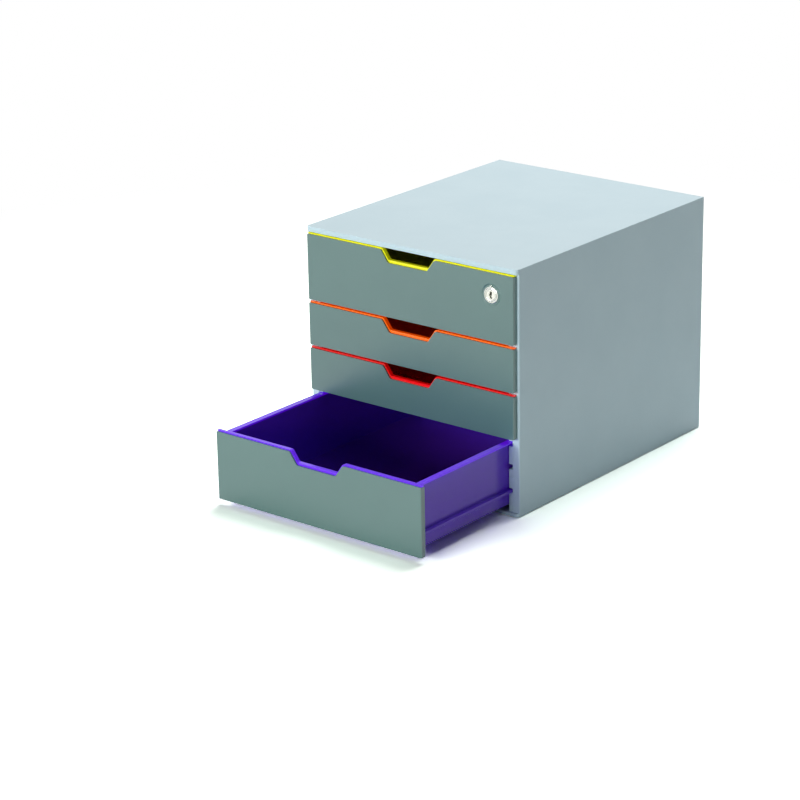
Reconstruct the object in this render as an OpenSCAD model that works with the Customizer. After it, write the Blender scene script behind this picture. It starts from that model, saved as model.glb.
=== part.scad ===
// Desktop file drawer: a flat-topped casing with four pull-out drawers, the top one lockable.
// Millimetres, +Z up. The drawers slide out towards -Y. The bottom drawer stands open.
// The origin is on the desk, at the centre of the space that the whole piece takes up.

/* [Casing] */
// Width over the two side walls
casing_w = 292; // [280:1:330]
// Depth from the front edge of the top to its back edge
casing_d = 356; // [350:1:400]
// Thickness of the top panel
top_t = 5.8; // [4.8:0.2:6.4]
// Thickness of the base panel
base_t = 4; // [4:0.2:6]
// Thickness of the side walls
wall_t = 3; // [2.6:0.2:4]
// Width of the upright return at the front of each side wall
frame_w = 9.2; // [9.2:0.2:10]
// Depth of that return, front to back
frame_d = 12; // [11:0.5:12]
// Radius of the outer corner of that return, seen from above
frame_r = 1; // [0.5:0.5:2]
// Distance of the side walls behind the front edge of the top
frame_y = 3.2; // [3.1:0.1:4]
// Distance of the back panel inside the back edge of the casing
back_inset = 2; // [1:0.5:3]
// Thickness of the back panel
back_t = 3; // [3:0.2:4]
// Radius of the front corners of the top and the base, seen from above
corner_r = 4; // [3:0.5:6]

/* [Drawers] */
// Height of one unit; a low drawer is two units high and a tall one three
unit_h = 26.6; // [26:0.2:30]
// How far the bottom drawer stands open
open_by = 159; // [0:1:270]
// How far a drawer comes out before its stops meet
travel = 270; // [200:5:270]
// Thickness of the tray walls and floor
tray_t = 2; // [1.6:0.2:2.6]
// Width of a tray over its side walls
tray_w = 261.2; // [260:0.2:261.2]
// Reach of the rims and ledges beyond the side walls of a tray
flange = 5.6; // [5:0.1:5.6]
// Thickness of the rim
rim_t = 2; // [1.6:0.2:2.4]
// Thickness of the ledge that carries the tray
ledge_t = 3.6; // [3:0.2:3.6]
// Clearance between the rear of a closed tray and the back panel
rear_gap = 12.5; // [12.5:0.5:16]

/* [Drawer fronts] */
// How far a cap's face stands in front of the front edge of the top
cap_out = 3; // [2.6:0.1:3.4]
// Depth of a front cap, front to back
cap_d = 5.8; // [5.4:0.1:5.8]
// Thickness of its face
cap_t = 2.2; // [2:0.1:2.4]
// Distance of a cap's side inside the side of the casing
cap_inset = 3; // [2.6:0.2:3.6]
// Height of the coloured edge that stands above a cap
edge_h = 1.4; // [1:0.1:1.6]
// Depth of that edge, front to back
edge_d = 4.6; // [4:0.1:5]
// Gap between a cap and the coloured edge below it
cap_gap = 2.8; // [2.4:0.1:3]
// Radius of a cap's corners, seen from the front
cap_r = 1.8; // [1:0.2:2.4]
// Radius of its upright edges, seen from above
cap_side_r = 1.5; // [1:0.1:2]

/* [Finger notch] */
// Width of the notch at the top
notch_w = 74; // [60:1:90]
// Width of the notch at its floor
notch_floor_w = 54; // [40:1:58]
// Depth of the notch in the cap
notch_h = 13.8; // [12:0.2:18]
// Height of the coloured edge on the floor of the notch
notch_lip = 3; // [1.6:0.2:3.4]
// Radius of the notch's corners
notch_r = 4; // [2:0.5:5]

/* [Runners] */
// Height of a groove
groove_h = 6; // [6:0.1:6.4]
// Thickness of the runner sheet and its rails
runner_t = 1.8; // [1.6:0.1:2]
// Clearance between a tray's side wall and the runners
side_gap = 0.8; // [0.7:0.1:1]

/* [Lock] */
// Distance of the lock from the middle of the top drawer
lock_x = 113.4; // [60:0.2:114]
// Distance of the lock below the top drawer's rim
lock_drop = 24; // [24:0.5:40]
// Diameter of the lock's face
lock_face_d = 20; // [19:0.5:21]
// Diameter of the lock's body
lock_body_d = 16; // [15:0.5:16]
// Diameter of the turning plug
plug_d = 11.5; // [10:0.5:11.5]
// Length of the cam from the lock's axis
cam_l = 22.8; // [18:0.2:22.8]

/* [Feet] */
// Diameter of a foot
foot_d = 18; // [12:1:20]
// Height of the base above the desk
foot_h = 0.8; // [0.6:0.1:1.4]

/* [Hidden] */
$fn = 64;
eps = 0.01;
half_w = casing_w / 2;
base_top = foot_h + base_t;
first_level = base_top + 1;
units = 10;
function level(k) = first_level + unit_h * k;
roof_z = level(units) + 2.4;
casing_h = roof_z + top_t;
rest_shift = (casing_d - open_by - cap_out) / 2;

// Each drawer: its lowest unit, its height in units, and how far it stands open
top_row = [7, 3, 0];
second_row = [5, 2, 0];
third_row = [3, 2, 0];
bottom_row = [0, 3, open_by];
rows = [top_row, second_row, third_row, bottom_row];
edge_up = 1.8;
function rim_z(row) = level(row[0] + row[1]);
function ledge_top(row) = level(row[0] + 1) - 1.6;
function clip_low(row) = ledge_top(row) + 1;
function floor_z(row) = level(row[0] + 1) - 20.4;
function edge_z(row) = rim_z(row) + edge_up;
function cap_top(row) = edge_z(row) - edge_h;
function cap_low(row) = level(row[0]) + (row[0] == 0 ? 1.6 : edge_up + cap_gap);

cap_half = half_w - cap_inset;
return_t = 2.5;
front_half = cap_half - return_t - 0.2;
edge_half = cap_half - 0.6;
edge_r = 0.8;
cap_y = -cap_out;
edge_y = cap_y + cap_t;
cap_end = cap_y + cap_d;
edge_end = edge_y + edge_d;
tray_half = tray_w / 2;
flange_half = tray_half + flange;
back_y = casing_d - back_inset - back_t;
tray_end = back_y - rear_gap;
tray_corner = 1;

land_x = tray_half + side_gap;
wall_x = half_w - wall_t;
groove_x = wall_x - runner_t;
runner_y = frame_y + frame_d + 0.3;
runner_end = tray_end + 1;

lug_l = 6;
lug_y = runner_y - 0.2 + travel + 1.2;
clip_y = frame_y + 0.4;
clip_h = 13;
clip_t = 1.6;
clip_x = land_x + 0.2;
clip_half = half_w - frame_w - 0.4;

screw_d = 2.8;
pilot_d = 2.9;
clear_d = 3.6;
head_d = 7;
head_h = 2;
screw_l = 12;
boss_d = 8;
back_boss_x = wall_x - 4;
back_boss_z = [55, 150, 240];
back_boss_l = 11;
post_front = [half_w - frame_w / 2, frame_y + frame_d / 2];
post_rear = [back_boss_x, back_y - 6];
posts = [post_front, post_rear];
peg_d = 4;
peg_l = 9;

foot_t = 2;
foot_x = half_w - 26;
foot_ys = [25, casing_d - 25];

lock_z = level(units) - lock_drop;
dish_d = 25;
dish_h = 1;
face_t = 1.4;
face_y = cap_y + dish_h - face_t;
lock_end = 21;
tab_w = 2.4;
tab_z = lock_face_d / 2 + 0.8;
nut_t = 4;
nut_w = 22;
hub_d = 15;
cam_w = 12;
keyway_d = 13;
cam_y = 22;
cam_t = 2;
tang = 7;
cam_screw_y = 16;
cam_screw_d = 3.8;
strike_low = lock_z + cam_l + 0.6;
strike_w = 30;
strike_x = lock_x - 16;
strike_y = 17.5;
strike_t = 2;
strike_l = 18;
strike_screw_y = strike_y + 11;
strike_screw_x = [strike_x + 6, strike_x + strike_w - 6];
strike_screw_l = 5.2;

slate = [0.45, 0.57, 0.55];
pale = [0.80, 0.87, 0.89];
yellow = [0.93, 0.93, 0.16];
orange = [0.97, 0.52, 0.10];
red = [0.90, 0.14, 0.10];
violet = [0.38, 0.18, 0.80];
metal = [0.80, 0.80, 0.78];
dark = [0.16, 0.17, 0.18];

// Everything is drawn from the casing's front plane, y = 0, and then moved to the origin
module place(out = 0) {
    translate([0, -rest_shift - out, 0]) children();
}

module block(low, high) {
    translate(low) cube(high - low);
}

// A cylinder along Y from y0 to y1
module rod(x, z, y0, y1, d) {
    translate([x, y1, z]) rotate([90, 0, 0]) cylinder(h = y1 - y0, d = d);
}

// A shape drawn in X and Z, drawn out along Y from y0 to y1
module along(y0, y1) {
    translate([0, y1, 0]) rotate([90, 0, 0]) linear_extrude(y1 - y0) children();
}

module both_sides() {
    children();
    mirror([1, 0, 0]) children();
}

// Points of an outline whose corners are rounded: corners is a list of [x, y, radius]
function unit2(v) = v / norm(v);
function arc_steps(r) = r > 0 ? 8 : 0;
function corner_points(p, q, s) =
    let (a = unit2([p[0] - q[0], p[1] - q[1]]),
         b = unit2([s[0] - q[0], s[1] - q[1]]),
         half = acos(a * b) / 2,
         r = q[2],
         mid = unit2(a + b),
         c = [q[0], q[1]] + mid * (r / sin(half)),
         t0 = [q[0], q[1]] + a * (r / tan(half)) - c,
         t1 = [q[0], q[1]] + b * (r / tan(half)) - c,
         a0 = atan2(t0[1], t0[0]),
         turn = atan2(t0[0] * t1[1] - t0[1] * t1[0], t0 * t1))
    r == 0 ? [[q[0], q[1]]]
           : [for (i = [0 : arc_steps(r)])
                let (w = a0 + turn * i / arc_steps(r)) c + r * [cos(w), sin(w)]];
function rounded(corners) =
    let (n = len(corners))
    [for (i = [0 : n - 1])
        each corner_points(corners[(i + n - 1) % n], corners[i], corners[(i + 1) % n])];

// Half the width of the finger notch at height z, with its edge drawn in by g
function notch_half(z, top, g) =
    let (slope = (notch_w - notch_floor_w) / 2 / notch_h)
    notch_w / 2 - (top - z) * slope - g * sqrt(1 + slope * slope);

// Outline of a drawer front with its finger notch; g draws its slopes in, and lip lifts its floor
module front_outline(half, low, high, cap_z, g, lip, r) {
    notch_z = cap_z - notch_h + lip;
    polygon(rounded([
        [-half, low, r], [half, low, r], [half, high, r],
        [notch_half(high, cap_z, g), high, notch_r],
        [notch_half(notch_z, cap_z, g), notch_z, notch_r - g / 2],
        [-notch_half(notch_z, cap_z, g), notch_z, notch_r - g / 2],
        [-notch_half(high, cap_z, g), high, notch_r],
        [-half, high, r]
    ]));
}

// Plan of the top, the base and the caps: square behind, round at the two front corners
module plan(half, depth, r) {
    translate([-half, r]) square([2 * half, depth - r]);
    translate([-half + r, 0]) square([2 * (half - r), r + eps]);
    for (s = [-1, 1]) translate([s * (half - r), r]) circle(r = r);
}

// Casing
module top_panel() {
    color(pale) place() {
        difference() {
            translate([0, 0, roof_z]) linear_extrude(top_t) plan(half_w, casing_d, corner_r);
            for (x = strike_screw_x) translate([x, strike_screw_y, roof_z - eps])
                cylinder(h = strike_screw_l - strike_t + 0.2, d = pilot_d);
        }
        both_sides() for (p = posts)
            translate([p[0], p[1], roof_z - peg_l]) cylinder(h = peg_l + eps, d = peg_d);
    }
}

module countersunk_hole() {
    translate([0, 0, -eps]) cylinder(h = 20, d = clear_d);
    translate([0, 0, -eps]) cylinder(h = head_h + 0.1, d1 = head_d + 0.2, d2 = clear_d);
}

module base_panel() {
    color(pale) place() difference() {
        translate([0, 0, foot_h]) linear_extrude(base_t) plan(half_w, casing_d, corner_r);
        both_sides() for (p = posts)
            translate([p[0], p[1], foot_h]) countersunk_hole();
        both_sides() for (y = foot_ys)
            translate([foot_x, y, foot_h - eps]) cylinder(h = foot_t - foot_h + eps, d = foot_d + 0.2);
    }
}

// Plan of a side wall with the return at its front, whose outer corner is round
module side_plan() {
    translate([wall_x, frame_y + frame_r]) square([wall_t, casing_d - frame_y - frame_r]);
    translate([half_w - frame_w, frame_y + frame_r]) square([frame_w, frame_d - frame_r]);
    translate([half_w - frame_w, frame_y]) square([frame_w - frame_r, frame_r + eps]);
    translate([half_w - frame_r, frame_y + frame_r]) circle(r = frame_r);
}

module side_wall() {
    color(pale) place() difference() {
        union() {
            translate([0, 0, base_top]) linear_extrude(roof_z - base_top) side_plan();
            block([wall_x - 9, back_y - wall_t, base_top], [wall_x + eps, back_y, roof_z]);
            for (z = back_boss_z) rod(back_boss_x, z, back_y - back_boss_l, back_y, boss_d);
            translate([post_rear[0], post_rear[1], base_top]) cylinder(h = 12, d = boss_d);
            translate([post_rear[0], post_rear[1], roof_z - 12]) cylinder(h = 12, d = boss_d);
        }
        for (z = back_boss_z) rod(back_boss_x, z, back_y - 10, back_y + eps, pilot_d);
        for (p = posts) {
            translate([p[0], p[1], base_top - eps]) cylinder(h = 10, d = pilot_d);
            translate([p[0], p[1], roof_z - peg_l - 0.5]) cylinder(h = peg_l + 1, d = peg_d + 0.1);
        }
    }
}

module right_side() side_wall();
module left_side() mirror([1, 0, 0]) side_wall();

module back_panel() {
    color(pale) place() difference() {
        block([-wall_x + 0.2, back_y, base_top + 0.2], [wall_x - 0.2, back_y + back_t, roof_z - 0.2]);
        both_sides() for (z = back_boss_z)
            translate([back_boss_x, back_y + back_t, z]) rotate([90, 0, 0]) countersunk_hole();
    }
}

// One countersunk screw, its head's face at z = 0 and its point up
module screw() {
    cylinder(h = head_h, d1 = head_d, d2 = screw_d);
    cylinder(h = screw_l - 2, d = screw_d);
    translate([0, 0, screw_l - 2]) cylinder(h = 2, d1 = screw_d, d2 = 0.8);
}

module back_screws() {
    color(metal) place() both_sides() for (z = back_boss_z)
        translate([back_boss_x, back_y + back_t, z]) rotate([90, 0, 0]) screw();
}

module base_screws() {
    color(metal) place() both_sides() for (p = posts)
        translate([p[0], p[1], foot_h]) screw();
}

module foot(x, y) {
    color(dark) place() translate([x, y, 0]) cylinder(h = foot_t, d = foot_d);
}

module front_left_foot() foot(-foot_x, foot_ys[0]);
module front_right_foot() foot(foot_x, foot_ys[0]);
module rear_left_foot() foot(-foot_x, foot_ys[1]);
module rear_right_foot() foot(foot_x, foot_ys[1]);

// Runners: a sheet on each side wall, and on it a channel rail between each two grooves
function groove_top(k) = level(k + 1) + 0.5;
function groove_low(k) = groove_top(k) - groove_h;
function rail_low(k) = k == 0 ? base_top + 0.2 : groove_top(k - 1);
function rail_high(k) = k == units ? roof_z - 0.2 : groove_low(k);

module runner() {
    color(pale) place()
        block([groove_x, runner_y, base_top + 0.2], [wall_x, runner_end, roof_z - 0.2]);
}

// A rail, whose nose stands beside the casing's front return
module rail(k) {
    low = rail_low(k);
    high = rail_high(k);
    difference() {
        union() {
            block([land_x, runner_y, low], [groove_x, runner_end, high]);
            block([land_x, clip_y, low], [clip_half, runner_y + eps, high]);
        }
        if (high - low > 3 * runner_t)
            block([land_x + runner_t, runner_y + runner_t, low + runner_t],
                  [groove_x + 1, runner_end + 1, high - runner_t]);
    }
}

module rails() {
    color(pale) place() difference() {
        for (k = [0 : units]) rail(k);
        for (row = rows)
            block([land_x - 1, clip_y - 1, groove_top(row[0]) - 1],
                  [clip_half + 1, runner_y, clip_low(row) + clip_h + 0.3]);
    }
}

module right_runner() runner();
module left_runner() mirror([1, 0, 0]) runner();
module right_rails() rails();
module left_rails() mirror([1, 0, 0]) rails();

// Stops: a bent clip before each ledge groove in use, which a lug on the ledge meets
module stop_clip(row) {
    low = clip_low(row);
    color(pale) place() {
        block([clip_x, clip_y, low], [clip_half, clip_y + clip_t, low + clip_h]);
        block([clip_x, clip_y, low], [clip_half, runner_y, low + clip_t]);
        block([clip_x, clip_y, low + clip_h - clip_t], [clip_half, runner_y, low + clip_h]);
    }
}

module top_right_stop() stop_clip(top_row);
module top_left_stop() mirror([1, 0, 0]) stop_clip(top_row);
module second_right_stop() stop_clip(second_row);
module second_left_stop() mirror([1, 0, 0]) stop_clip(second_row);
module third_right_stop() stop_clip(third_row);
module third_left_stop() mirror([1, 0, 0]) stop_clip(third_row);
module bottom_right_stop() stop_clip(bottom_row);
module bottom_left_stop() mirror([1, 0, 0]) stop_clip(bottom_row);

// Drawers
module tub_outline(half, low, high, r) {
    translate([-half, low + r]) square([2 * half, high - low - r]);
    translate([-half + r, low]) square([2 * (half - r), r + eps]);
    for (s = [-1, 1]) translate([s * (half - r), low + r]) circle(r = r);
}

// A flange with a round edge, reaching out from the tray's side wall
module flange_outline(low, t) {
    r = min(t / 2, 1);
    translate([tray_half - 1, low]) square([flange + 1 - r, t]);
    translate([tray_half - 1, low + r]) square([flange + 1, t - 2 * r + eps]);
    for (z = [low + r, low + t - r]) translate([flange_half - r, z]) circle(r = r);
}

module tray(row) {
    low = floor_z(row);
    high = rim_z(row);
    ledge = ledge_top(row);
    along(edge_end, tray_end) {
        difference() {
            tub_outline(tray_half, low, high, tray_corner);
            translate([0, tray_t]) tub_outline(tray_half - tray_t, low, high, tray_corner - 0.5);
        }
        for (s = [0, 1]) mirror([s, 0]) {
            flange_outline(high - rim_t, rim_t);
            flange_outline(ledge - ledge_t, ledge_t);
        }
    }
    along(tray_end - tray_t, tray_end) tub_outline(tray_half - eps, low, high - rim_t, tray_corner);
    both_sides()
        block([tray_half + 0.6, lug_y, ledge - eps], [flange_half - 0.6, lug_y + lug_l, ledge + 1.5]);
}

// A drawer's coloured inner front, bonded to its tray; its upper edge stands above the cap
module inner_front(row) {
    along(edge_y, cap_end)
        front_outline(front_half, cap_low(row) + cap_t + 0.2, edge_z(row), cap_top(row), edge_h, notch_lip, edge_r);
    along(cap_end - eps, edge_end)
        front_outline(tray_half, floor_z(row), edge_z(row), cap_top(row), edge_h, notch_lip, edge_r);
    both_sides()
        block([front_half - 2, edge_y, cap_top(row) + 0.1], [edge_half, cap_end, edge_z(row)]);
}

module top_inner_front() {
    color(yellow) place(top_row[2]) difference() {
        inner_front(top_row);
        rod(lock_x, lock_z, edge_y - 1, edge_end + 1, lock_body_d + 0.3);
    }
}

module second_inner_front() color(orange) place(second_row[2]) inner_front(second_row);
module third_inner_front() color(red) place(third_row[2]) inner_front(third_row);
module bottom_inner_front() color(violet) place(bottom_row[2]) inner_front(bottom_row);
module top_tray() color(yellow) place(top_row[2]) tray(top_row);
module second_tray() color(orange) place(second_row[2]) tray(second_row);
module third_tray() color(red) place(third_row[2]) tray(third_row);
module bottom_tray() color(violet) place(bottom_row[2]) tray(bottom_row);

// A cap: a shallow cover over the tray's front wall, open along its top
module cap(row) {
    low = cap_low(row);
    high = cap_top(row);
    difference() {
        intersection() {
            translate([0, cap_y, low - 1]) linear_extrude(high - low + 2) plan(cap_half, cap_d, cap_side_r);
            along(cap_y - 1, cap_end + 1) front_outline(cap_half, low, high, high, 0, 0, cap_r);
        }
        block([-cap_half + return_t, edge_y, low + cap_t], [cap_half - return_t, cap_end + 1, high + 1]);
    }
}

module top_front() {
    color(slate) place(top_row[2]) difference() {
        cap(top_row);
        rod(lock_x, lock_z, cap_y - 1, edge_y + 1, lock_body_d + 0.3);
        translate([lock_x, cap_y + dish_h, lock_z]) rotate([90, 0, 0])
            cylinder(h = dish_h + eps, d1 = dish_d - 3, d2 = dish_d);
    }
}

module second_front() color(slate) place(second_row[2]) cap(second_row);
module third_front() color(slate) place(third_row[2]) cap(third_row);
module bottom_front() color(slate) place(bottom_row[2]) cap(bottom_row);

// Lock of the top drawer
module lock_barrel() {
    color(metal) place() difference() {
        union() {
            rod(lock_x, lock_z, face_y, face_y + face_t, lock_face_d);
            rod(lock_x, lock_z, face_y + 1, lock_end, lock_body_d);
            block([lock_x - tab_w / 2, face_y - 0.6, lock_z],
                  [lock_x + tab_w / 2, face_y + face_t, lock_z + tab_z]);
        }
        rod(lock_x, lock_z, face_y - 2, lock_end + 1, plug_d + 0.1);
    }
}

module lock_nut() {
    color(metal) place() difference() {
        translate([lock_x, edge_end + nut_t, lock_z]) rotate([90, 0, 0])
            cylinder(h = nut_t, d = nut_w / cos(30), $fn = 6);
        rod(lock_x, lock_z, edge_end - 1, edge_end + nut_t + 1, lock_body_d + 0.1);
    }
}

module lock_plug() {
    color(metal) place() difference() {
        union() {
            rod(lock_x, lock_z, face_y + 0.2, cam_y, plug_d);
            block([lock_x - tang / 2, cam_y - eps, lock_z - tang / 2],
                  [lock_x + tang / 2, cam_y + cam_t, lock_z + tang / 2]);
        }
        block([lock_x - 0.9, face_y - 2, lock_z - 3.6], [lock_x + 0.9, keyway_d, lock_z + 3.6]);
        block([lock_x - 2, face_y - 2, lock_z - 0.9], [lock_x, keyway_d, lock_z + 0.7]);
        rod(lock_x, lock_z, cam_screw_y - 1, cam_y + cam_t + 1, cam_screw_d + 0.1);
    }
}

module lock_cam() {
    color(metal) place() difference() {
        union() {
            rod(lock_x, lock_z, cam_y, cam_y + cam_t, hub_d);
            block([lock_x - cam_l + cam_w / 2, cam_y, lock_z - cam_w / 2],
                  [lock_x, cam_y + cam_t, lock_z + cam_w / 2]);
            rod(lock_x - cam_l + cam_w / 2, lock_z, cam_y, cam_y + cam_t, cam_w);
        }
        block([lock_x - tang / 2 - 0.05, cam_y - 1, lock_z - tang / 2 - 0.05],
              [lock_x + tang / 2 + 0.05, cam_y + cam_t + 1, lock_z + tang / 2 + 0.05]);
    }
}

module cam_screw() {
    color(metal) place() difference() {
        union() {
            rod(lock_x, lock_z, cam_y + cam_t, cam_y + cam_t + 2.4, 9);
            rod(lock_x, lock_z, cam_screw_y, cam_y + cam_t + eps, cam_screw_d);
        }
        block([lock_x - 3, cam_y + cam_t + 1.2, lock_z - 0.5], [lock_x + 3, 30, lock_z + 0.5]);
    }
}

module lock_strike() {
    color(metal) place() difference() {
        union() {
            block([strike_x, strike_y, roof_z - strike_t],
                  [strike_x + strike_w, strike_y + strike_l, roof_z]);
            block([strike_x, strike_y, strike_low], [strike_x + strike_w, strike_y + strike_t, roof_z]);
        }
        for (x = strike_screw_x) translate([x, strike_screw_y, roof_z - strike_t - eps]) {
            cylinder(h = strike_t - 0.2, d1 = 6.2, d2 = 3.2);
            cylinder(h = strike_t + 1, d = 3.2);
        }
    }
}

module strike_screws() {
    color(metal) place() for (x = strike_screw_x) translate([x, strike_screw_y, roof_z - strike_t]) {
        cylinder(h = strike_t - 0.3, d1 = 6, d2 = screw_d);
        cylinder(h = strike_screw_l, d = screw_d);
    }
}

top_panel();
base_panel();
left_side();
right_side();
back_panel();
left_runner();
right_runner();
left_rails();
right_rails();
back_screws();
base_screws();
front_left_foot();
front_right_foot();
rear_left_foot();
rear_right_foot();
top_left_stop();
top_right_stop();
second_left_stop();
second_right_stop();
third_left_stop();
third_right_stop();
bottom_left_stop();
bottom_right_stop();
top_tray();
second_tray();
third_tray();
bottom_tray();
top_inner_front();
second_inner_front();
third_inner_front();
bottom_inner_front();
top_front();
second_front();
third_front();
bottom_front();
lock_barrel();
lock_nut();
lock_plug();
lock_cam();
cam_screw();
lock_strike();
strike_screws();
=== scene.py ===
import math

import bmesh
import bpy
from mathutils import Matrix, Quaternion, Vector


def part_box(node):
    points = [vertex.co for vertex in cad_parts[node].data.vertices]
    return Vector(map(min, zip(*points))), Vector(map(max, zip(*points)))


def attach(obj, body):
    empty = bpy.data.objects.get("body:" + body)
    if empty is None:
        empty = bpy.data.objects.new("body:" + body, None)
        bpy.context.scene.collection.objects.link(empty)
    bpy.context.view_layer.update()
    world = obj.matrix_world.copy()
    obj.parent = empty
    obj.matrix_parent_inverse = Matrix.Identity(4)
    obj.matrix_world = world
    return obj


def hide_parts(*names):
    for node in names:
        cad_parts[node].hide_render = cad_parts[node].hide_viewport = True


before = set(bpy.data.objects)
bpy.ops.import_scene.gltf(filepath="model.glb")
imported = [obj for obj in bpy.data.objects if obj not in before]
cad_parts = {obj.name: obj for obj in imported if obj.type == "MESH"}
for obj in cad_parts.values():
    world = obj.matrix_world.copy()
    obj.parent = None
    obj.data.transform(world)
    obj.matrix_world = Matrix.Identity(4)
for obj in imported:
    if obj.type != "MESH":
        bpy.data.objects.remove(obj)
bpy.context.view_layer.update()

mm = 0.001


# Shader maths: a wrapped socket, whose operators add the nodes that they need

class Socket:
    def __init__(self, graph, out):
        self.graph, self.out = graph, out

    def join(self, operation, a, b):
        kinds = [item.out.type for item in (a, b) if isinstance(item, Socket)]
        if "RGBA" in kinds:
            settings = {"data_type": "RGBA", "blend_type": operation}
            return self.graph.add("Mix", settings, {0: 1.0, 6: a, 7: b}, 2)
        if "VECTOR" in kinds or isinstance(a, tuple) or isinstance(b, tuple):
            return self.graph.add("VectorMath", {"operation": operation}, {0: a, 1: b})
        return self.graph.add("Math", {"operation": operation}, {0: a, 1: b})

    def __add__(self, other): return self.join("ADD", self, other)
    def __radd__(self, other): return self.join("ADD", other, self)
    def __sub__(self, other): return self.join("SUBTRACT", self, other)
    def __rsub__(self, other): return self.join("SUBTRACT", other, self)
    def __mul__(self, other): return self.join("MULTIPLY", self, other)
    def __rmul__(self, other): return self.join("MULTIPLY", other, self)

    def larger(self, other):
        return self.graph.add("Math", {"operation": "MAXIMUM"}, {0: self, 1: other})

    def band(self, low, high, start=0.0, end=1.0):  # smooth step from low to high
        values = {"Value": self, "From Min": low, "From Max": high, "To Min": start, "To Max": end}
        return self.graph.add("MapRange", {"interpolation_type": "SMOOTHSTEP"}, values)


class Graph:
    def __init__(self, tree):
        self.tree = tree
        tree.nodes.clear()

    def add(self, nodeType, settings=None, values=None, output=0):
        made = self.tree.nodes.new("ShaderNode" + nodeType)
        for key, value in (settings or {}).items():
            setattr(made, key, value)
        for key, value in (values or {}).items():
            if isinstance(value, Socket):
                self.tree.links.new(value.out, made.inputs[key])
            else:
                made.inputs[key].default_value = value
        return Socket(self, made.outputs[output])

    def place(self):  # the part's own coordinates, in metres
        return self.add("TexCoord", output="Object")

    def facing(self):
        return self.add("TexCoord", output="Normal")

    def part(self, vector, axis):
        return self.add("SeparateXYZ", None, {0: vector}, "XYZ".index(axis))

    def length(self, vector):
        return self.add("VectorMath", {"operation": "LENGTH"}, {0: vector}, "Value")

    def noise(self, place, scale, detail=3.0, rough=0.6):
        values = {"Vector": place, "Scale": scale, "Detail": detail, "Roughness": rough}
        return self.add("TexNoise", None, values)

    def blend(self, factor, a, b):
        return self.add("Mix", {"data_type": "RGBA"}, {0: factor, 6: a, 7: b}, 2)

    def bump(self, height, strength, distance, normal=None):
        values = {"Height": height, "Strength": strength, "Distance": distance}
        return self.add("Bump", None, {**values, "Normal": normal} if normal else values)

    def ray(self, kind):
        return self.add("LightPath", output="Is " + kind + " Ray")

    def seenRays(self):
        return self.ray("Camera").larger(self.ray("Glossy")).larger(self.ray("Transmission"))

    def principled(self, **values):
        names = ("Base Color", "Roughness", "Metallic", "IOR", "Normal", "Specular IOR Level",
                 "Emission Color", "Emission Strength")
        chosen = {name: values[name.replace(" ", "")] for name in names if name.replace(" ", "") in values}
        self.finish(self.add("BsdfPrincipled", None, chosen))

    def finish(self, shader, kind="Material"):
        sink = self.tree.nodes.new("ShaderNodeOutput" + kind)
        self.tree.links.new(shader.out, sink.inputs["Surface"])


def srgb(red, green, blue):
    def linear(level):
        level /= 255
        return level / 12.92 if level <= 0.04045 else ((level + 0.055) / 1.055) ** 2.4
    return (linear(red), linear(green), linear(blue), 1.0)


def newMaterial(name):
    material = bpy.data.materials.new(name)
    material.use_nodes = True
    return material, Graph(material.node_tree)


# Plastics. Every moulding shares the skin, and has its own colour, grain and gloss; trays and inner fronts
# also get a painted glow, emission standing in for light at their rims

skin = {
    "mottleScale": 14.0, "mottleDetail": 4.0, "mottleRough": 0.55, "mottleBand": (0.3, 0.7),
    "waveDetail": 2.0, "waveRough": 0.45, "waveHeight": 0.4 * mm,
    "grainHeight": 0.03 * mm, "grainBand": (0.35, 0.65), "grainShade": 0.6,
    "rubbedStretch": (1.0, 0.25, 1.0), "rubbedScale": 90.0, "rubbedBand": (0.56, 0.72),
    # painted glow: how far below its height it fades in, and which facing it skips
    "paintedGlowFade": 0.3 * mm, "outwardBand": (0.2, 0.6),
}
casingLook = {
    "colour": srgb(196, 220, 228), "shade": srgb(184, 210, 219), "mottle": 0.35,
    "grainScale": 2400.0, "grainDepth": 0.35, "waveScale": 22.0, "waveDepth": 0.03,
    "rough": 0.38, "roughSpread": 0.06, "rubbed": -0.03, "specular": 1.0, "ior": 1.5,
}
frontLook = {
    "colour": srgb(81, 119, 114), "shade": srgb(72, 110, 106), "mottle": 0.4,
    "grainScale": 2000.0, "grainDepth": 0.4, "waveScale": 30.0, "waveDepth": 0.02,
    "rough": 0.32, "roughSpread": 0.06, "rubbed": 0.0, "specular": 1.0, "ior": 1.6,
}
trayLook = {
    "mottle": 0.3, "grainScale": 900.0, "grainDepth": 0.06, "waveScale": 26.0, "waveDepth": 0.03,
    "rough": 0.16, "roughSpread": 0.08, "rubbed": 0.06, "specular": 0.5, "ior": 1.5, "rimHeight": 2.0 * mm,
}
trayColours = {  # painted highlight: the glow is emission painted on each thin rim at its edge, brighter than the lamps light it
    "yellow": {"colour": srgb(252, 250, 26), "shade": srgb(240, 232, 20), "paintedGlow": (0.12, 0.12, 0.0, 1)},
    "orange": {"colour": srgb(255, 122, 4), "shade": srgb(246, 104, 4), "paintedGlow": (0.32, 0.01, 0.0, 1)},
    "red": {"colour": srgb(246, 22, 20), "shade": srgb(226, 16, 16), "paintedGlow": (0.18, 0.0, 0.0, 1)},
    "violet": {"colour": srgb(98, 44, 204), "shade": srgb(84, 35, 184), "paintedGlow": (0.05, 0.0, 0.38, 1)},
}


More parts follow.
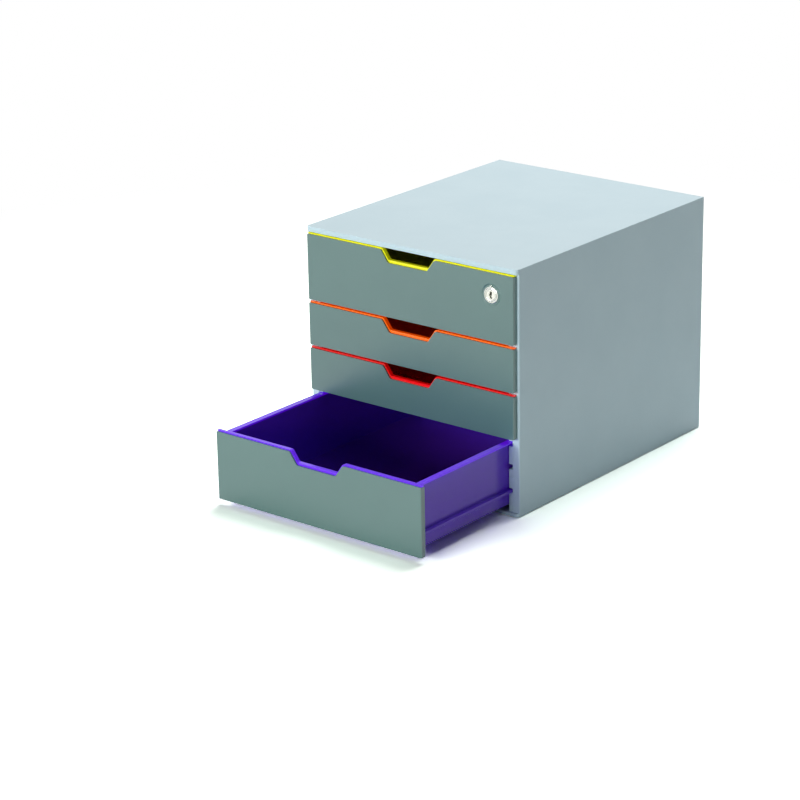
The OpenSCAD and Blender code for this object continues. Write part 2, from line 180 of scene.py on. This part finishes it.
def mouldedPlastic(name, look, paintedGlowFrom=None):
    # a spark-eroded grain, slow waves in the skin, and a faint mottle in colour and gloss; given a height,
    # also a painted glow (emission) above it
    material, g = newMaterial(name)
    place = g.place()
    grain = g.noise(place, look["grainScale"])
    waves = g.noise(place, look["waveScale"], skin["waveDetail"], skin["waveRough"])
    mottle = g.noise(place, skin["mottleScale"], skin["mottleDetail"], skin["mottleRough"])
    rubbed = g.noise(place * skin["rubbedStretch"], skin["rubbedScale"]).band(*skin["rubbedBand"])
    colour = g.blend(mottle.band(*skin["mottleBand"], 0.0, look["mottle"]), look["colour"], look["shade"])
    speckle = grain.band(*skin["grainBand"], 0.0, look["mottle"] * skin["grainShade"])
    values = {"BaseColor": g.blend(speckle, colour, look["shade"]),
              "Roughness": (mottle - 0.5) * look["roughSpread"] + look["rough"] + rubbed * look["rubbed"]}
    if paintedGlowFrom is not None:  # painted highlight: emission above this height, on all but the wall's inner face
        lit = g.part(place, "Z").band(paintedGlowFrom - skin["paintedGlowFade"], paintedGlowFrom)
        lit = lit * g.part(g.facing(), "Y").band(*skin["outwardBand"], 1.0, 0.0)
        values["EmissionColor"] = g.blend(lit, (0, 0, 0, 1), look["paintedGlow"])
        values["EmissionStrength"] = 1.0
    fine = g.bump(grain, look["grainDepth"], skin["grainHeight"])
    g.principled(Normal=g.bump(waves, look["waveDepth"], skin["waveHeight"], fine),
                 SpecularIORLevel=look["specular"], IOR=look["ior"], **values)
    return material


# Metals and rubber

faceLook = {
    "colour": (0.84, 0.87, 0.81, 1), "shade": (0.74, 0.77, 0.70, 1), "rough": 0.2, "roughSpread": 0.16,
    "ringScale": 16000.0, "ringDepth": 0.2, "ringHeight": 0.02 * mm,
    "cloudScale": 300.0, "cloudBand": (0.35, 0.7),
}
plugLook = {
    **faceLook, "colour": (0.78, 0.80, 0.71, 1), "shade": (0.68, 0.70, 0.61, 1), "rough": 0.42,
    "ringScale": 9000.0, "ringDepth": 0.15,
}
steelLook = {
    "colour": (0.62, 0.63, 0.64, 1), "shade": (0.5, 0.52, 0.55, 1), "rough": 0.34, "roughSpread": 0.2,
    "lineScale": (300.0, 5000.0, 5000.0), "lineDepth": 0.25, "lineHeight": 0.02 * mm,
    "patchScale": 240.0, "patchBand": (0.3, 0.7),
}
rubberLook = {
    "colour": (0.025, 0.026, 0.028, 1), "shade": (0.05, 0.05, 0.052, 1), "rough": 0.7, "roughSpread": 0.1,
    "grainScale": 1500.0, "grainDepth": 0.5, "grainHeight": 0.05 * mm,
    "bloomScale": 120.0, "bloomBand": (0.4, 0.75),
}


def turnedMetal(name, look):
    # plated metal off a lathe: rings round the lock's axis, and a faint cloud in the plating
    material, g = newMaterial(name)
    place = g.place()
    radius = g.length((place - (lock["x"], 0.0, lock["z"])) * (1.0, 0.0, 1.0))
    rings = g.add("Math", {"operation": "SINE"}, {0: radius * look["ringScale"]})
    cloud = g.noise(place, look["cloudScale"], 4.0)
    g.principled(BaseColor=g.blend(cloud.band(*look["cloudBand"]), look["colour"], look["shade"]),
                 Roughness=(cloud - 0.5) * look["roughSpread"] + look["rough"], Metallic=1.0,
                 Normal=g.bump(rings, look["ringDepth"], look["ringHeight"]))
    return material


def drawnSteel(name, look):
    # zinc-plated steel: fine drawn lines and a patchy sheen
    material, g = newMaterial(name)
    place = g.place()
    lines = g.noise(place * look["lineScale"], 1.0, 2.0, 0.5)
    patches = g.noise(place, look["patchScale"])
    g.principled(BaseColor=g.blend(patches.band(*look["patchBand"]), look["colour"], look["shade"]),
                 Roughness=(patches - 0.5) * look["roughSpread"] + look["rough"], Metallic=1.0,
                 Normal=g.bump(lines, look["lineDepth"], look["lineHeight"]))
    return material


def mattRubber(name, look):
    material, g = newMaterial(name)
    place = g.place()
    grain = g.noise(place, look["grainScale"])
    bloom = g.noise(place, look["bloomScale"], 3.0, 0.55)
    g.principled(BaseColor=g.blend(bloom.band(*look["bloomBand"]), look["colour"], look["shade"]),
                 Roughness=bloom * look["roughSpread"] + look["rough"],
                 Normal=g.bump(grain, look["grainDepth"], look["grainHeight"]))
    return material


# The construction's own parts: what they are made of, and their softened edges

rows = {"top": "yellow", "second": "orange", "third": "red", "bottom": "violet"}
sides = ("left", "right")
panels = ["top_panel", "base_panel", "back_panel"]
walls = [side + "_" + part for side in sides for part in ("side", "runner", "rails")]
feet = [end + "_" + side + "_foot" for end in ("front", "rear") for side in sides]
lockSteel = ["lock_nut", "lock_cam", "cam_screw", "lock_strike", "strike_screws"]
madeOf = {"casing": panels + walls, "steel": ["back_screws", "base_screws"] + lockSteel, "rubber": feet}
edgeWidth = {  # in millimetres, by how a node's name ends
    "top_panel": 0.3, "base_panel": 0.3, "back_panel": 0.4, "_side": 0.2, "_runner": 0.35, "_rails": 0.35,
    "_tray": 0.25, "_inner_front": 0.25, "_front": 0.6, "_foot": 0.4,
    "lock_nut": 0.3, "lock_cam": 0.2, "lock_strike": 0.3,
}
edgeLook = {"weldWithin": 0.001, "flatWithin": 0.01, "steps": 3, "sharpFrom": 32, "normalWeight": 60}


def makeMaterials():
    made = {
        "casing": mouldedPlastic("paleCasing", casingLook),
        "front": mouldedPlastic("slateFront", frontLook),
        "lockFace": turnedMetal("lockNickel", faceLook),
        "lockPlug": turnedMetal("plugNickel", plugLook),
        "steel": drawnSteel("zincSteel", steelLook),
        "rubber": mattRubber("footRubber", rubberLook),
    }
    for row, colourName in rows.items():
        look = {**trayLook, **trayColours[colourName]}
        rim = max(corner[2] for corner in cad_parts[row + "_tray"].bound_box)
        # painted highlight: each tray glows with emission in its top rimHeight, each inner front on all its
        # outward faces
        made[colourName] = mouldedPlastic(colourName + "Tray", look, rim - look["rimHeight"])
        made[colourName + "Edge"] = mouldedPlastic(colourName + "Edge", look, 0.0)
    print("materials made")
    return made


def paint(piece, material):
    piece.data.materials.clear()
    piece.data.materials.append(material)


def roundEdges(node, width):
    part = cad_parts[node]
    weld = part.modifiers.new("weld", "WELD")
    weld.merge_threshold = edgeLook["weldWithin"] * mm
    flat = part.modifiers.new("flat", "DECIMATE")
    flat.decimate_type, flat.angle_limit = "DISSOLVE", edgeLook["flatWithin"]
    edge = part.modifiers.new("edge", "BEVEL")
    edge.width, edge.segments = width * mm, edgeLook["steps"]
    edge.limit_method, edge.angle_limit = "ANGLE", math.radians(edgeLook["sharpFrom"])
    shade = part.modifiers.new("shade", "WEIGHTED_NORMAL")
    shade.mode, shade.weight, shade.keep_sharp = "FACE_AREA", edgeLook["normalWeight"], False


def dressFrame(materials):
    for kind, nodes in madeOf.items():
        for node in nodes:
            paint(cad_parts[node], materials[kind])
    for row, colourName in rows.items():
        paint(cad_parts[row + "_tray"], materials[colourName])
        # the inner fronts take the painted-glow material
        paint(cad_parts[row + "_inner_front"], materials[colourName + "Edge"])
        paint(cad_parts[row + "_front"], materials["front"])
        for side in sides:
            paint(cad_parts[row + "_" + side + "_stop"], materials["casing"])
    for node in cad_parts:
        fits = [ending for ending in edgeWidth if node.endswith(ending)]
        if fits:
            roundEdges(node, edgeWidth[max(fits, key=len)])  # the longest ending that fits
    print("frame dressed")


# Mesh helpers

def newPiece(name, mesh, body, material):
    piece = bpy.data.objects.new(name, mesh)
    bpy.context.scene.collection.objects.link(piece)
    paint(piece, material)
    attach(piece, body)
    return piece


def smoothed(mesh, angle):
    mesh.shade_smooth()
    mesh.set_sharp_from_angle(angle=math.radians(angle))
    return mesh


def built(build, name, angle):
    mesh = bpy.data.meshes.new(name)
    bmesh.ops.recalc_face_normals(build, faces=build.faces)
    build.to_mesh(mesh)
    build.free()
    return smoothed(mesh, angle)


def turned(name, profile, steps=96):  # a closed outline, turned round the lock's axis
    build = bmesh.new()
    rings = []
    for radius, depth in profile:
        turns = [2 * math.pi * (k + 0.5) / steps for k in range(steps)] if radius else [0.0]
        rings.append([build.verts.new((lock["x"] + radius * mm * math.cos(turn), lock["front"] + depth * mm,
                                       lock["z"] + radius * mm * math.sin(turn))) for turn in turns])
    for near, far in zip(rings, rings[1:] + rings[:1]):
        for k in range(steps):
            corners = [near[k % len(near)], near[(k + 1) % len(near)]]
            corners = list(dict.fromkeys(corners + [far[(k + 1) % len(far)], far[k % len(far)]]))
            if len(corners) > 2:
                build.faces.new(corners)
    return built(build, name, 35)


def block(name, low, high, soft):
    build = bmesh.new()
    bmesh.ops.create_cube(build, size=1.0)
    for vert in build.verts:
        vert.co = Vector([a + (b - a) * (c + 0.5) for a, b, c in zip(low, high, vert.co)])
    bmesh.ops.bevel(build, geom=build.edges[:], offset=soft, segments=3, profile=0.5, affect="EDGES")
    return built(build, name, 50)


# Lock, placed by the frame's plug and barrel. Radii, and depths behind the face, are in millimetres

lockLook = {
    "proud": 0.6, "barrel": 8.0, "bore": 5.8, "plug": 5.7,
    "innerRing": [(5.8, 0.9), (5.8, 0.4), (5.95, 0.16), (6.25, 0.04), (6.95, 0.04), (7.1, 0.14)],
    "groove": [(7.2, 0.8), (7.8, 0.8)],
    "outerRing": [(7.9, 0.14), (8.1, 0.0), (8.6, 0.0), (8.95, 0.08), (9.15, 0.28), (9.25, 0.6),
                  (9.25, 1.38)],
    "neckFrom": 1.38, "threadFrom": 5.0, "threadTo": 23.6, "pitch": 1.2, "threadDepth": 0.35, "tail": 0.8,
    "plugSoft": 0.14, "plugFrom": 0.25, "keywayTo": 13.0, "plugTo": 25.3, "overlap": 0.2,
    "tang": 3.4, "tangTo": 27.3,
    "keyway": [(-1.3, 3.9), (-1.3, 1.0), (-2.4, 1.0), (-2.4, -1.2), (-1.3, -1.2), (-1.3, -4.0), (1.35, -4.0),
               (1.35, -1.9), (0.8, -1.9), (0.8, 0.3), (1.35, 0.3), (1.35, 3.9)],
    "tab": {"half": 1.1, "low": 7.9, "high": 10.7, "from": -0.5, "to": 1.3, "soft": 0.3},
}
plugLow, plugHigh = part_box("lock_plug")
lock = {"x": (plugLow.x + plugHigh.x) / 2, "z": (plugLow.z + plugHigh.z) / 2,
        "front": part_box("lock_barrel")[0].y + lockLook["proud"] * mm}


def barrelOutline():
    crest, root = lockLook["barrel"], lockLook["barrel"] - lockLook["threadDepth"]
    depth, pitch, end = lockLook["threadFrom"], lockLook["pitch"], lockLook["threadTo"] + lockLook["tail"]
    points = lockLook["innerRing"] + lockLook["groove"] + lockLook["outerRing"]
    points += [(crest, lockLook["neckFrom"]), (crest, depth)]
    while depth < lockLook["threadTo"] - pitch:
        points += [(crest, depth + pitch / 4), (root, depth + pitch / 2), (root, depth + pitch * 3 / 4),
                   (crest, depth + pitch)]
        depth += pitch
    return points + [(crest, end), (lockLook["bore"], end)]


def keyedDisc(name):  # the plug's front part, with its keyway
    outline = bpy.data.curves.new(name, "CURVE")
    outline.dimensions, outline.fill_mode = "2D", "BOTH"
    soft, radius = lockLook["plugSoft"], lockLook["plug"]
    half = (lockLook["keywayTo"] - lockLook["plugFrom"]) / 2
    outline.extrude, outline.bevel_depth, outline.bevel_resolution = (half - soft) * mm, soft * mm, 2
    outline.offset = -soft * mm
    turns = [2 * math.pi * k / 72 for k in range(72)]
    circle = [(radius * math.cos(turn), radius * math.sin(turn)) for turn in turns]
    for points in (circle, lockLook["keyway"]):
        spline = outline.splines.new("POLY")
        spline.points.add(len(points) - 1)
        spline.use_cyclic_u = True
        for point, (x, z) in zip(spline.points, points):
            point.co = (x * mm, z * mm, 0.0, 1.0)
    holder = bpy.data.objects.new(name, outline)
    mesh = bpy.data.meshes.new_from_object(holder)
    bpy.data.objects.remove(holder)
    middle = lock["front"] + (lockLook["plugFrom"] + half) * mm
    for vert in mesh.vertices:
        x, z, depth = vert.co
        vert.co = (lock["x"] + x, middle - depth, lock["z"] + z)
    return smoothed(mesh, 50)


def rodOutline(radius, start, end):
    return [(0, start), (radius, start), (radius, end), (0, end)]


def makeLock(materials):
    def lockPiece(name, mesh, body, look):
        return newPiece(name, mesh, body, materials[look])

    face = lockPiece("lockFace", turned("lockFace", barrelOutline()), "top_drawer", "lockFace")
    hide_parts("lock_barrel")
    tab = {key: size * mm for key, size in lockLook["tab"].items()}
    low = (lock["x"] - tab["half"], lock["front"] + tab["from"], lock["z"] + tab["low"])
    high = (lock["x"] + tab["half"], lock["front"] + tab["to"], lock["z"] + tab["high"])
    lockPiece("lockTab", block("lockTab", low, high, tab["soft"]), "top_drawer", "lockFace")
    plug = lockPiece("lockPlug", keyedDisc("lockPlug"), "lock_core", "lockPlug")
    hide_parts("lock_plug")
    rear = rodOutline(lockLook["plug"], lockLook["keywayTo"] - lockLook["overlap"], lockLook["plugTo"])
    lockPiece("plugRear", turned("plugRear", rear), "lock_core", "lockPlug")
    corner = lockLook["tang"] * math.sqrt(2)
    tang = rodOutline(corner, lockLook["plugTo"] - lockLook["overlap"], lockLook["tangTo"])
    lockPiece("plugTang", turned("plugTang", tang, 4), "lock_core", "lockPlug")  # four steps make it square
    print("lock made")


# Tongues of the stop clips, which lie on the casing's front return. Sizes are in millimetres

tongueLook = {"reach": 4.0, "overlap": 3.0, "front": 0.74, "thick": 0.33, "soft": 0.144, "short": 0.2,
              "rootShort": 0.1, "rootSunk": 0.2}


def makeTongues(materials):
    size = {key: value * mm for key, value in tongueLook.items()}
    for row in rows:
        for side in sides:
            low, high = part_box(row + "_" + side + "_stop")
            sign, edge = (1, high.x) if side == "right" else (-1, -low.x)
            inner, front = edge - size["overlap"], low.y - size["front"]
            for part, outer, near, far in (
                    ("Plate", edge + size["reach"], front, front + size["thick"]),
                    ("Root", edge - size["rootShort"], front + size["rootShort"], low.y + size["rootSunk"])):
                name = row + side.title() + "Tongue" + part
                left, right = sorted((sign * inner, sign * outer))
                least, most = (left, near, low.z + size["short"]), (right, far, high.z - size["short"])
                mesh = block(name, least, most, size["soft"])
                newPiece(name, mesh, "casing", materials["casing"])
    print("tongues made")


# Floor, light and camera

studio = {
    "floorHalf": 30.0, "floorNear": 0.7, "floorFar": 1.3,
    "floorColour": (0.88, 0.98, 0.98, 1), "floorShine": (1.2, 1.2, 1.2, 1),
    "floorSeen": (2.0, 2.12, 1.99, 1),
    "skyStrength": 0.055, "aim": (0, 0, 0.1),
    "lamps": {
        "back": {"at": (-0.12, 0.9, 2.35), "size": (1.5, 1.5), "watts": 43.5},
        "frontLow": {"at": (-0.5, -3.0, 0.85), "size": (2.4, 0.5), "watts": 70.5},
    },
}
cameraLook = {
    "azimuth": 39.377, "elevation": 19.596, "roll": -1.049, "distance": 2.9741,
    "target": (-0.01569, -0.0970, 0.10227), "sensor": 36.0, "focalPixels": 2697.52, "pictureWidth": 800,
}


def makeFloor():
    half = studio["floorHalf"]
    corners = [(x * half, y * half, 0) for x, y in ((-1, -1), (1, -1), (1, 1), (-1, 1))]
    mesh = bpy.data.meshes.new("floor")
    mesh.from_pydata(corners, [], [(0, 1, 2, 3)])
    floor = bpy.data.objects.new("floor", mesh)
    bpy.context.scene.collection.objects.link(floor)
    material, g = newMaterial("palePaper")
    plain, shine, seen = [g.add("BsdfDiffuse", None, {"Color": studio["floor" + name]})
                          for name in ("Colour", "Shine", "Seen")]
    paper = g.add("MixShader", None, {0: g.ray("Glossy"), 1: plain, 2: shine})
    paper = g.add("MixShader", None, {0: g.ray("Camera"), 1: paper, 2: seen})
    fade = g.length(g.place()).band(studio["floorNear"], studio["floorFar"]) * g.seenRays()
    white = g.add("Emission", None, {"Strength": 1.0})
    g.finish(g.add("MixShader", None, {0: fade, 1: paper, 2: white}))
    paint(floor, material)


def makeSky():
    world = bpy.data.worlds.new("studio")
    bpy.context.scene.world = world
    world.use_nodes = True
    g = Graph(world.node_tree)
    strength = g.seenRays() * (1.0 - studio["skyStrength"]) + studio["skyStrength"]
    g.finish(g.add("Background", None, {"Color": (1, 1, 1, 1), "Strength": strength}), "World")


def aimed(name, data, place, turn):
    made = bpy.data.objects.new(name, data)
    made.location = place
    made.rotation_mode = "QUATERNION"
    made.rotation_quaternion = turn
    bpy.context.scene.collection.objects.link(made)
    return made


def makeLamps():
    for name, lamp in studio["lamps"].items():
        data = bpy.data.lights.new(name, "AREA")
        data.shape, data.energy = "RECTANGLE", lamp["watts"]
        data.size, data.size_y = lamp["size"]
        toward = Vector(studio["aim"]) - Vector(lamp["at"])
        aimed(name, data, lamp["at"], toward.to_track_quat("-Z", "Y"))


def makeCamera():
    azimuth, elevation, roll = (math.radians(cameraLook[key]) for key in ("azimuth", "elevation", "roll"))
    back = Vector((math.sin(azimuth) * math.cos(elevation), -math.cos(azimuth) * math.cos(elevation),
                   math.sin(elevation)))
    data = bpy.data.cameras.new("camera")
    data.sensor_width = cameraLook["sensor"]
    data.lens = cameraLook["sensor"] * cameraLook["focalPixels"] / cameraLook["pictureWidth"]
    turn = (-back).to_track_quat("-Z", "Y")
    turn.rotate(Quaternion(back, roll))
    place = Vector(cameraLook["target"]) + back * cameraLook["distance"]
    bpy.context.scene.camera = aimed("camera", data, place, turn)


makeCamera()
makeFloor()
makeSky()
makeLamps()
print("studio made")
materials = makeMaterials()
dressFrame(materials)
makeLock(materials)
makeTongues(materials)
bpy.context.scene.view_settings.view_transform = "Standard"
